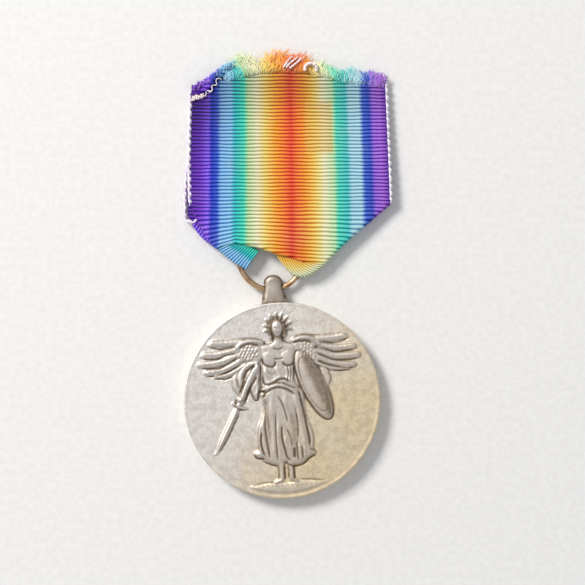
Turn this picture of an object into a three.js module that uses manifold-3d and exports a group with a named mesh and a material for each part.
// A military service medal laid flat: a struck bronze medallion with a winged figure in
// relief, its suspension lug, a wire ring, and the ribbon folded through the ring.
//
// Millimetres, +Z up. The medal lies on its back, obverse up and ribbon towards +Y. The
// design is laid out around the centre of the ring, and the finished group is then moved
// so that its origin is the middle of its base.
import * as THREE from 'three';
import { mergeVertices } from 'three/addons/utils/BufferGeometryUtils.js';
import Module from 'manifold-3d';

const wasm = await Module();
wasm.setup();

// ---------- driving dimensions ----------

const DISC_DIAMETER = 36; // struck medallion
const DISC_THICKNESS = 2.9; // over the rim
const RIM_WIDTH = 0.9; // raised edge on both faces
const RIM_ROUNDING = 0.35; // on both corners of the edge
const FIELD_DEPTH = 0.3; // field below the rim, each face
const RELIEF_HEIGHT = 0.75; // fullest relief above the obverse field
const SHOULDER = 0.18; // rounding of the relief
const TABLET_WIDTH = 12; // level oval on the reverse
const TABLET_HEIGHT = 16;
const MEDAL_TILT = 4.4; // degrees the medallion lies anticlockwise of the ribbon

const WIRE_DIAMETER = 1.0; // suspension ring
const RING_RADIUS = 5.9; // to the middle of the wire
const BORE_CLEARANCE = 0.48; // round the wire in the lug's hole
const BORE_OFFSET = 0.2; // bore axis inside the wire's middle line

const SOLDER_THICKNESS = 0.3; // collar between lug and rim
const SOLDER_LIP = 0.12; // collar beyond the lug's foot
const LUG_HEIGHT = 4.4; // solder collar to top of dome
const LUG_DOME_RADIUS = 1.7;
const LUG_BASE_RADIUS = 2.25;
const LUG_FOOT_HEIGHT = 0.25; // straight part of the foot
const LUG_INSET = 0.05; // lug's faces inside the faces of the disc
const BORE_HEIGHT = 1.9; // bore axis above the foot of the lug

const RIBBON_WIDTH = 36.2;
const RIBBON_LENGTH = 32.7; // ring centre to the top hem
const RIBBON_THICKNESS = 0.45;
const RIBBON_SHIFT = 3.4; // middle of the ribbon, right of the ring
const BACK_SHIFT = -0.9; // back layer lies further left
const RIGHT_CORNER = 9.8; // height of the right lower corner
const LEFT_CORNER = 8.8; // height of the left lower corner
const HEM_HEIGHT = 2.1; // edge of the pleat over the ring
const FRONT_LEFT_DROP = 3.6; // torn corner of the front layer, below the top hem
const BACK_LEFT_DROP = 1.6; // torn corner of the back layer
const RIGHT_DROP = 0.2; // right corner of both layers
const CORNER_RUN = 6; // width of the torn left corner
const FLAP_REACH = 14; // length of a turned-in side
const YARN_WIDTH = 0.4; // selvedge yarn
const YARN_GAP = 0.15; // between a yarn and its layer
const YARN_LIFT = 0.05; // yarn's underside over the layer's
const YARN_INSET = 0.5; // a yarn ends above the folded corner
const YARN_TOP_INSET = 0.2; // and below the layer's top corner
const FRAY_LENGTH = 5.5; // torn weft above the top hem
const FRAY_THICKNESS = 0.3;
const FRAY_LEFT_INSET = 6.5;
const FRAY_RIGHT_INSET = 1.5;
const THREAD_DIAMETER = 0.4;
const STITCH_THICKNESS = 0.3;
const STITCH_START = [-1.1, 2.4]; // from the middle of the top hem
const STITCH_STEP = [0.75, -0.1]; // from one strand to the next
const STITCH_RUN = [1.6, 1.7]; // length of a strand across and up
const LOOP_RADIUS = 1.0; // loose loop of thread
const LOOP_PLACE = [3.9, 1.9]; // from the middle of the top hem

const GAP = 0.3; // between pieces that touch
const JOIN_GAP = 0.2; // between the soldered pieces
const ARC_STEPS = 56; // segments round a full circle

// ---------- places worked out from them ----------

const DISC_RADIUS = DISC_DIAMETER / 2;
const WIRE_RADIUS = WIRE_DIAMETER / 2;
const BORE_RADIUS = WIRE_RADIUS + BORE_CLEARANCE;
const MID_PLANE = DISC_THICKNESS / 2;
const OBVERSE = DISC_THICKNESS - FIELD_DEPTH;
const LUG_HALF_DEPTH = MID_PLANE - LUG_INSET;
const LUG_FOOT = DISC_RADIUS + JOIN_GAP + SOLDER_THICKNESS + JOIN_GAP;
const BORE_FROM_DISC = LUG_FOOT + BORE_HEIGHT;
const DISC_FROM_RING = BORE_FROM_DISC + RING_RADIUS - BORE_OFFSET;

const SLEEVE_HOLE = WIRE_RADIUS + GAP; // radius of the ribbon's bend round the wire
const SLEEVE_OUTER = SLEEVE_HOLE + RIBBON_THICKNESS;
const SLEEVE_EDGE = RING_RADIUS + SLEEVE_OUTER + 0.1;
const PANEL_NOTCH = SLEEVE_EDGE + GAP;
const SLEEVE_TOP = MID_PLANE + SLEEVE_OUTER;

const BACK_TOP = RIBBON_THICKNESS;
const FLAP_LOW = BACK_TOP + GAP + 0.05;
const FRONT_LOW = FLAP_LOW; // underside of the front layer at the top hem
const FRONT_RISE = (SLEEVE_TOP - RIBBON_THICKNESS - FRONT_LOW) / RIBBON_LENGTH;
const PLEAT_LOW = SLEEVE_TOP + GAP;

const LEFT = RIBBON_SHIFT - RIBBON_WIDTH / 2;
const RIGHT = RIBBON_SHIFT + RIBBON_WIDTH / 2;
const BACK_LEFT = LEFT + BACK_SHIFT;
const BACK_RIGHT = RIGHT + BACK_SHIFT;
// where the two folded edges meet the ring, as shares of its radius
const LEFT_FOOT = [-0.97 * RING_RADIUS, -0.26 * RING_RADIUS];
const LEFT_TIP = [-0.75 * RING_RADIUS, -0.36 * RING_RADIUS];
const RIGHT_TIP = [0.58 * RING_RADIUS, -0.49 * RING_RADIUS];
const RIGHT_LOBE = [0.86 * RING_RADIUS, -0.53 * RING_RADIUS];
const RIGHT_FOOT = [1.42 * RING_RADIUS, -0.41 * RING_RADIUS];

// ---------- materials ----------

function finish(color, roughness, metalness) {
  return new THREE.MeshStandardMaterial({ color, roughness, metalness });
}
const bronze = () => finish('#c9b48c', 0.42, 1);
const lugBronze = () => finish('#c4a78a', 0.35, 1);
const wire = () => finish('#b9935c', 0.3, 1);
const silk = () => finish('#c0703c', 0.75, 0);
const thread = () => finish('#e8dfe0', 0.8, 0);

// ---------- solids ----------

function toManifold(geometry) {
  const bare = geometry.clone();
  bare.deleteAttribute('normal');
  bare.deleteAttribute('uv');
  const merged = mergeVertices(bare, 1e-5);
  return new wasm.Manifold(new wasm.Mesh({
    numProp: 3,
    vertProperties: new Float32Array(merged.attributes.position.array),
    triVerts: new Uint32Array(merged.index.array),
  }));
}

function toGeometry(solid) {
  const mesh = solid.getMesh();
  const geometry = new THREE.BufferGeometry();
  geometry.setAttribute('position', new THREE.BufferAttribute(mesh.vertProperties, 3));
  geometry.setIndex(new THREE.BufferAttribute(mesh.triVerts, 1));
  geometry.computeVertexNormals();
  return geometry;
}

function joined(solids) {
  return solids.reduce((whole, solid) => whole.add(solid));
}

function moved(geometry, x, y, z) {
  return geometry.translate(x, y, z);
}

function outline(points) {
  return new THREE.Shape(points.map(([x, y]) => new THREE.Vector2(x, y)));
}

function plate(points, low, high) {
  const options = { depth: high - low, bevelEnabled: false };
  return moved(new THREE.ExtrudeGeometry(outline(points), options), 0, 0, low);
}

// A disc-shaped cutter about the ring's centre.
function ringCutter(radius) {
  const cutter = new THREE.CylinderGeometry(radius, radius, 20, ARC_STEPS);
  return toManifold(cutter.rotateX(Math.PI / 2));
}

// The front layer climbs steadily from the top hem to the ring.
function climb(geometry) {
  const at = geometry.attributes.position;
  for (let i = 0; i < at.count; i += 1) {
    at.setZ(i, at.getZ(i) + FRONT_RISE * (RIBBON_LENGTH - at.getY(i)));
  }
  return geometry;
}

// A raised form with a rounded shoulder, from inside the metal up to its height.
function raised(points, height) {
  const shoulder = Math.min(SHOULDER, height / 2);
  const geometry = new THREE.ExtrudeGeometry(outline(points), {
    depth: height - shoulder + FIELD_DEPTH,
    bevelEnabled: true,
    bevelThickness: shoulder,
    bevelSize: shoulder,
    bevelOffset: -shoulder,
    bevelSegments: 1,
  });
  return toManifold(moved(geometry, 0, 0, OBVERSE - FIELD_DEPTH));
}

// A long form with round ends, tapering from radius a at one point to b at the other.
function tapered([x1, y1], [x2, y2], a, b, steps = 5) {
  const along = Math.atan2(y2 - y1, x2 - x1);
  const points = [];
  for (let i = 0; i <= steps; i += 1) {
    const angle = along + Math.PI / 2 + (Math.PI * i) / steps;
    points.push([x1 + a * Math.cos(angle), y1 + a * Math.sin(angle)]);
  }
  for (let i = 0; i <= steps; i += 1) {
    const angle = along - Math.PI / 2 + (Math.PI * i) / steps;
    points.push([x2 + b * Math.cos(angle), y2 + b * Math.sin(angle)]);
  }
  return points;
}

function oval(x, y, rx, ry, turn = 0, steps = 16) {
  const points = [];
  const lean = THREE.MathUtils.degToRad(turn);
  for (let i = 0; i < steps; i += 1) {
    const angle = (2 * Math.PI * i) / steps;
    const u = rx * Math.cos(angle);
    const v = ry * Math.sin(angle);
    points.push([
      x + u * Math.cos(lean) - v * Math.sin(lean),
      y + u * Math.sin(lean) + v * Math.cos(lean),
    ]);
  }
  return points;
}

// ---------- medallion ----------

const scale = DISC_DIAMETER / 36; // the device grows with the disc
const spot = (x, y) => [x * scale, y * scale];

function feather(root, tip, width) {
  return raised(tapered(spot(...root), spot(...tip), width * 0.8, width), RELIEF_HEIGHT * 0.55);
}

function wings() {
  const left = [
    [[-3, 11.4], [-12.2, 11.4]],
    [[-5, 10.1], [-13.7, 9.5]],
    [[-5, 9.0], [-14.2, 7.7]],
    [[-4.5, 7.8], [-13.2, 5.9]],
  ];
  const right = [
    [[4, 11.2], [12.2, 11.2]],
    [[5, 10.0], [13.7, 9.2]],
    [[5, 8.8], [14.2, 7.4]],
    [[5, 7.4], [13.3, 5.7]],
  ];
  return [...left, ...right].map(([root, tip]) => feather(root, tip, 0.66 * scale));
}

function figure() {
  const full = RELIEF_HEIGHT;
  const robe = [
    [-3.0, 3.2], [-3.6, 1.6], [-3.9, -3.2], [-4.9, -6.4], [-5.6, -9.6], [-3.6, -11.3],
    [0, -12], [3.6, -11.4], [5.6, -9.9], [4.6, -5.6], [3.7, -1.2], [3.1, 1.8], [2.6, 3.2],
  ];
  const chest = [
    [-2.9, 3.0], [-3.3, 6.6], [-3.4, 9.2], [-2.2, 10.5], [2.2, 10.5], [3.2, 9.4],
    [2.9, 6.6], [2.5, 3.0],
  ];
  return [
    raised(robe.map((p) => spot(...p)), full * 0.7),
    raised(chest.map((p) => spot(...p)), full * 0.85),
    raised(oval(...spot(0, 13.1), 1.0 * scale, 1.5 * scale), full),
    raised(tapered(spot(0, 11.8), spot(0, 10.2), 0.7 * scale, 0.9 * scale), full * 0.7),
    raised(tapered(spot(-3.4, 9.2), spot(-4.7, 5.6), 0.9 * scale, 0.8 * scale), full * 0.8),
    raised(tapered(spot(-4.7, 5.6), spot(-7.2, 1.2), 0.8 * scale, 0.55 * scale), full * 0.8),
    raised(tapered(spot(-7.6, 0.6), spot(-12.4, -8.6), 0.6 * scale, 0.28 * scale), full * 0.4),
    raised(tapered(spot(-8.6, 0), spot(-6.8, -0.9), 0.3 * scale, 0.3 * scale, 4), full * 0.5),
    raised(oval(...spot(5.9, 2.6), 2.3 * scale, 6.9 * scale, 21, 20), full),
    raised(tapered(spot(-0.9, -11.4), spot(-1.1, -14.6), 0.45 * scale, 0.5 * scale), full * 0.5),
    raised(tapered(spot(0.9, -11.4), spot(0.8, -14.6), 0.45 * scale, 0.5 * scale), full * 0.5),
  ];
}

// The ground under the feet, down to the rim.
function mound() {
  const edge = DISC_RADIUS - RIM_WIDTH;
  const points = [];
  const halfAngle = 30;
  for (let turn = -90 - halfAngle; turn <= -90 + halfAngle; turn += 10) {
    const angle = THREE.MathUtils.degToRad(turn);
    points.push([edge * Math.cos(angle), edge * Math.sin(angle)]);
  }
  points.push(spot(3, -14.5), spot(-3, -14.6));
  return raised(points, RELIEF_HEIGHT * 0.4);
}

function blank() {
  const edge = RIM_ROUNDING;
  const inner = DISC_RADIUS - RIM_WIDTH;
  const profile = [
    [0, FIELD_DEPTH],
    [inner - FIELD_DEPTH, FIELD_DEPTH],
    [inner, 0],
    [DISC_RADIUS - edge, 0],
    [DISC_RADIUS, edge],
    [DISC_RADIUS, DISC_THICKNESS - edge],
    [DISC_RADIUS - edge, DISC_THICKNESS],
    [inner, DISC_THICKNESS],
    [inner - FIELD_DEPTH, OBVERSE],
    [0, OBVERSE],
  ];
  const points = profile.map(([x, y]) => new THREE.Vector2(x, y));
  const lathe = new THREE.LatheGeometry(points, ARC_STEPS + 16);
  return toManifold(lathe.rotateX(Math.PI / 2));
}

// Reverse: a plain oval tablet level with the rim.
function tablet() {
  const rx = (TABLET_WIDTH / 2) * scale;
  const ry = (TABLET_HEIGHT / 2) * scale;
  return toManifold(plate(oval(0, 0, rx, ry, 0, 24), 0, MID_PLANE));
}

function medalDisc() {
  return toGeometry(joined([blank(), tablet(), mound(), ...wings(), ...figure()]));
}

// Squeezes a turned form along Z until nothing is deeper than the lug.
function flattened(geometry) {
  const at = geometry.attributes.position;
  for (let i = 0; i < at.count; i += 1) {
    const radius = Math.hypot(at.getX(i), at.getZ(i));
    const share = LUG_HALF_DEPTH / Math.max(radius, LUG_DOME_RADIUS);
    at.setZ(i, at.getZ(i) * Math.min(1, share));
  }
  return geometry;
}

// The lug is turned, then flattened to the thickness of the disc and cross-bored.
function suspensionLug() {
  const points = [new THREE.Vector2(0, 0)];
  const waist = LUG_HEIGHT - LUG_DOME_RADIUS;
  points.push(new THREE.Vector2(LUG_BASE_RADIUS, 0));
  points.push(new THREE.Vector2(LUG_BASE_RADIUS, LUG_FOOT_HEIGHT));
  for (let i = 1; i <= 4; i += 1) {
    const share = i / 4;
    const radius = THREE.MathUtils.lerp(LUG_BASE_RADIUS, LUG_DOME_RADIUS, Math.sqrt(share));
    points.push(new THREE.Vector2(radius, THREE.MathUtils.lerp(LUG_FOOT_HEIGHT, waist, share)));
  }
  for (let i = 1; i <= 6; i += 1) {
    const angle = (Math.PI / 2) * (i / 6);
    const radius = i === 6 ? 0 : LUG_DOME_RADIUS * Math.cos(angle);
    points.push(new THREE.Vector2(radius, waist + LUG_DOME_RADIUS * Math.sin(angle)));
  }
  const body = flattened(new THREE.LatheGeometry(points, 28));
  const bore = new THREE.CylinderGeometry(BORE_RADIUS, BORE_RADIUS, 4 * LUG_BASE_RADIUS, 28);
  bore.rotateZ(Math.PI / 2).translate(0, BORE_HEIGHT, 0);
  return toGeometry(toManifold(body).subtract(toManifold(bore)));
}

function solderCollar() {
  const radius = LUG_BASE_RADIUS + SOLDER_LIP;
  return flattened(new THREE.CylinderGeometry(radius, radius, SOLDER_THICKNESS, 28));
}

// ---------- ribbon ----------

// The laid outline of a layer: straight sides, then both sides folded in to the ring.
function layerOutline(left, right, topLeft, topRight) {
  return [
    [left, LEFT_CORNER], LEFT_FOOT, LEFT_TIP, RIGHT_TIP, RIGHT_LOBE, RIGHT_FOOT,
    [right, RIGHT_CORNER], [right, topRight], [left + CORNER_RUN, RIBBON_LENGTH], [left, topLeft],
  ];
}

function frontPanel() {
  const topLeft = RIBBON_LENGTH - FRONT_LEFT_DROP;
  const points = layerOutline(LEFT, RIGHT, topLeft, RIBBON_LENGTH - RIGHT_DROP);
  const sheet = climb(plate(points, FRONT_LOW, FRONT_LOW + RIBBON_THICKNESS));
  return toGeometry(toManifold(sheet).subtract(ringCutter(PANEL_NOTCH)));
}

function backPanel() {
  const topLeft = RIBBON_LENGTH - BACK_LEFT_DROP;
  const points = layerOutline(BACK_LEFT, BACK_RIGHT, topLeft, RIBBON_LENGTH - RIGHT_DROP);
  const sheet = toManifold(plate(points, 0, BACK_TOP));
  return toGeometry(sheet.subtract(ringCutter(PANEL_NOTCH)));
}

// A side of the ribbon turned in under the front layer along its slanting edge.
function turnedSide(corner, foot) {
  const fold = new THREE.Vector2(foot[0] - corner[0], foot[1] - corner[1]).normalize();
  const selvedge = new THREE.Vector2(0, -1);
  const mirrored = fold.clone().multiplyScalar(2 * fold.dot(selvedge)).sub(selvedge);
  const inset = Math.sign(foot[0] - corner[0]) * GAP;
  const points = [
    [corner[0] + 2 * inset, corner[1]],
    [foot[0] + inset, foot[1] + GAP],
    [corner[0] + mirrored.x * FLAP_REACH, corner[1] + mirrored.y * FLAP_REACH],
  ];
  const ordered = THREE.ShapeUtils.isClockWise(points.map(([x, y]) => new THREE.Vector2(x, y)))
    ? points.reverse() : points;
  const flap = toManifold(plate(ordered, FLAP_LOW, FLAP_LOW + RIBBON_THICKNESS));
  return toGeometry(flap.subtract(ringCutter(PANEL_NOTCH)));
}

// The bend round the wire: a channel open away from the ring's middle.
function ringSleeve() {
  const steps = 8;
  const points = [new THREE.Vector2(SLEEVE_EDGE, MID_PLANE - SLEEVE_OUTER)];
  for (let i = 0; i <= steps; i += 1) {
    const angle = -Math.PI / 2 - (Math.PI * i) / steps;
    points.push(new THREE.Vector2(
      RING_RADIUS + SLEEVE_OUTER * Math.cos(angle),
      MID_PLANE + SLEEVE_OUTER * Math.sin(angle),
    ));
  }
  points.push(new THREE.Vector2(SLEEVE_EDGE, MID_PLANE + SLEEVE_OUTER));
  points.push(new THREE.Vector2(SLEEVE_EDGE, MID_PLANE + SLEEVE_HOLE));
  for (let i = 0; i <= steps; i += 1) {
    const angle = Math.PI / 2 + (Math.PI * i) / steps;
    points.push(new THREE.Vector2(
      RING_RADIUS + SLEEVE_HOLE * Math.cos(angle),
      MID_PLANE + SLEEVE_HOLE * Math.sin(angle),
    ));
  }
  points.push(new THREE.Vector2(SLEEVE_EDGE, MID_PLANE - SLEEVE_HOLE));
  points.push(points[0].clone());
  const channel = new THREE.LatheGeometry(points.reverse(), ARC_STEPS).rotateX(Math.PI / 2);
  const reach = 2 * RING_RADIUS;
  const kept = [
    [-reach, reach], [-reach, 0.3 * RING_RADIUS], LEFT_FOOT, LEFT_TIP, RIGHT_TIP,
    RIGHT_LOBE, RIGHT_FOOT, [reach, 0], [reach, reach],
  ];
  return toGeometry(toManifold(channel).intersect(toManifold(plate(kept, -1, 6))));
}

// The loose pleat of the front layer that hangs over the top of the ring.
function pleat() {
  const from = 4;
  const to = 157;
  const step = 9;
  const points = [[LEFT_TIP[0], HEM_HEIGHT], [RIGHT_TIP[0], HEM_HEIGHT]];
  for (let turn = from; turn <= to; turn += step) {
    const angle = THREE.MathUtils.degToRad(turn);
    points.push([SLEEVE_EDGE * Math.cos(angle), SLEEVE_EDGE * Math.sin(angle)]);
  }
  return plate(points, PLEAT_LOW, PLEAT_LOW + RIBBON_THICKNESS);
}

function yarn(x, low, high, side) {
  const near = x + side * YARN_GAP;
  const far = near + side * YARN_WIDTH;
  const [a, b] = side > 0 ? [near, far] : [far, near];
  return plate([[a, low], [b, low], [b, high], [a, high]], YARN_LIFT, RIBBON_THICKNESS);
}

// Torn weft: a row of tufts of different heights, each a pointed tongue.
function fray(left, right, base, tops) {
  const width = (right - left) / tops.length;
  const points = [[left, base], [right, base]];
  for (let i = tops.length - 1; i >= 0; i -= 1) {
    const x = left + i * width;
    points.push([x + width * 0.85, base + 0.4 + tops[i] * FRAY_LENGTH * 0.75]);
    points.push([x + width * 0.5, base + 0.6 + tops[i] * FRAY_LENGTH]);
    points.push([x + width * 0.12, base + 0.4 + tops[i] * FRAY_LENGTH * 0.55]);
  }
  return points;
}

function threadAlong(curve, steps) {
  const section = outline(oval(0, 0, THREAD_DIAMETER / 2, THREAD_DIAMETER / 2, 0, 8));
  return new THREE.ExtrudeGeometry(section, { steps, bevelEnabled: false, extrudePath: curve });
}

// ---------- assembly ----------

const group = new THREE.Group();

function add(parent, name, geometry, material) {
  const mesh = new THREE.Mesh(geometry, material);
  mesh.name = name;
  parent.add(mesh);
  return mesh;
}

const medallion = new THREE.Group();
medallion.rotation.z = THREE.MathUtils.degToRad(MEDAL_TILT);
medallion.position.set(
  DISC_FROM_RING * Math.sin(medallion.rotation.z),
  -DISC_FROM_RING * Math.cos(medallion.rotation.z),
  0,
);
group.add(medallion);
add(medallion, 'medal_disc', medalDisc(), bronze());
const lug = add(medallion, 'suspension_lug', suspensionLug(), lugBronze());
lug.position.set(0, LUG_FOOT, MID_PLANE);
const collar = add(medallion, 'lug_solder_collar', solderCollar(), lugBronze());
collar.position.set(0, DISC_RADIUS + JOIN_GAP + SOLDER_THICKNESS / 2, MID_PLANE);

const hoop = new THREE.TorusGeometry(RING_RADIUS, WIRE_RADIUS, 12, ARC_STEPS);
add(group, 'suspension_ring', hoop, wire()).position.z = MID_PLANE;

add(group, 'ribbon_back_panel', backPanel(), silk());
add(group, 'ribbon_front_panel', frontPanel(), silk());
add(group, 'ribbon_side_fold_left', turnedSide([LEFT, LEFT_CORNER], LEFT_FOOT), silk());
add(group, 'ribbon_side_fold_right', turnedSide([RIGHT, RIGHT_CORNER], RIGHT_FOOT), silk());
add(group, 'ribbon_ring_bend', ringSleeve(), silk());
add(group, 'ribbon_front_pleat', pleat(), silk());

const frontYarn = (x, low, high, side) => climb(moved(yarn(x, low, high, side), 0, 0, FRONT_LOW));
const yarnLeft = LEFT_CORNER + YARN_INSET;
const yarnRight = RIGHT_CORNER + YARN_INSET;
const yarnTop = RIBBON_LENGTH - RIGHT_DROP - YARN_TOP_INSET;
const frontYarnTop = RIBBON_LENGTH - FRONT_LEFT_DROP - YARN_TOP_INSET;
const backYarnTop = RIBBON_LENGTH - BACK_LEFT_DROP - YARN_TOP_INSET;
add(group, 'selvedge_yarn_front_left', frontYarn(LEFT, yarnLeft, frontYarnTop, -1), thread());
add(group, 'selvedge_yarn_front_right', frontYarn(RIGHT, yarnRight, yarnTop, 1), thread());
add(group, 'selvedge_yarn_back_left', yarn(BACK_LEFT, yarnLeft, backYarnTop, -1), thread());
add(group, 'selvedge_yarn_back_right', yarn(BACK_RIGHT, yarnRight, yarnTop, 1), thread());

// Heights of the torn tufts from left to right, as shares of the longest.
const frontTops = [0.75, 0.9, 0.35, 0.95, 1.0, 0.85, 0.8, 0.3, 0.55, 0.5, 0.3, 0.35, 0.25];
const backTops = [0.1, 0.3, 0.45, 0.4, 0.3, 0.4, 0.35, 0.3, 0.3, 0.25, 0.2, 0.15];
const tufts = (left, right, tops) => (
  fray(left + FRAY_LEFT_INSET, right - FRAY_RIGHT_INSET, RIBBON_LENGTH + GAP, tops)
);
add(group, 'frayed_end_front', climb(plate(
  tufts(LEFT, RIGHT, frontTops), FRONT_LOW, FRONT_LOW + FRAY_THICKNESS)), silk());
add(group, 'frayed_end_back', plate(
  tufts(BACK_LEFT, BACK_RIGHT, backTops), YARN_LIFT, YARN_LIFT + FRAY_THICKNESS), silk());

// Ends of the sewing thread that held the brooch, lying on the torn weft.
const stitchLow = FRONT_LOW + FRAY_THICKNESS + GAP;
for (let i = 0; i < 3; i += 1) {
  const x = RIBBON_SHIFT + STITCH_START[0] + STITCH_STEP[0] * i;
  const y = RIBBON_LENGTH + STITCH_START[1] + STITCH_STEP[1] * i;
  const tip = [x + STITCH_RUN[0], y + STITCH_RUN[1]];
  const strand = tapered([x, y], tip, 0.4 * THREAD_DIAMETER, 0.3 * THREAD_DIAMETER, 4);
  const geometry = plate(strand, stitchLow, stitchLow + STITCH_THICKNESS);
  add(group, `stitch_end_${i + 1}`, geometry, thread());
}

// A loop of the same thread standing out of the hem.
const loop = new THREE.CatmullRomCurve3([0, 45, 90, 135, 180].map((turn) => {
  const angle = THREE.MathUtils.degToRad(turn);
  return new THREE.Vector3(
    RIBBON_SHIFT + LOOP_PLACE[0] + LOOP_RADIUS * Math.cos(angle),
    RIBBON_LENGTH + LOOP_PLACE[1] + LOOP_RADIUS * Math.sin(angle),
    stitchLow + THREAD_DIAMETER / 2,
  );
}));
add(group, 'loose_thread_loop', threadAlong(loop, 10), thread());

// A curl of thread over the torn left corner, clear of the layer's climb.
const climbUnderCurl = 0.2;
const curlHeight = FRONT_LOW + RIBBON_THICKNESS + GAP + THREAD_DIAMETER / 2 + climbUnderCurl;
const curlPlaces = [[0.2, -2.4], [1.0, -3.4], [1.9, -2.6], [2.9, -2.9]];
const curl = new THREE.CatmullRomCurve3(curlPlaces.map(([x, y]) => (
  new THREE.Vector3(LEFT + x, RIBBON_LENGTH + y, curlHeight)
)));
add(group, 'loose_thread_curl', threadAlong(curl, 10), thread());

// Origin in the middle of the base.
group.updateMatrixWorld(true);
const box = new THREE.Box3().setFromObject(group, true);
const middle = box.getCenter(new THREE.Vector3());
group.position.set(-middle.x, -middle.y, -box.min.z);

export default group;
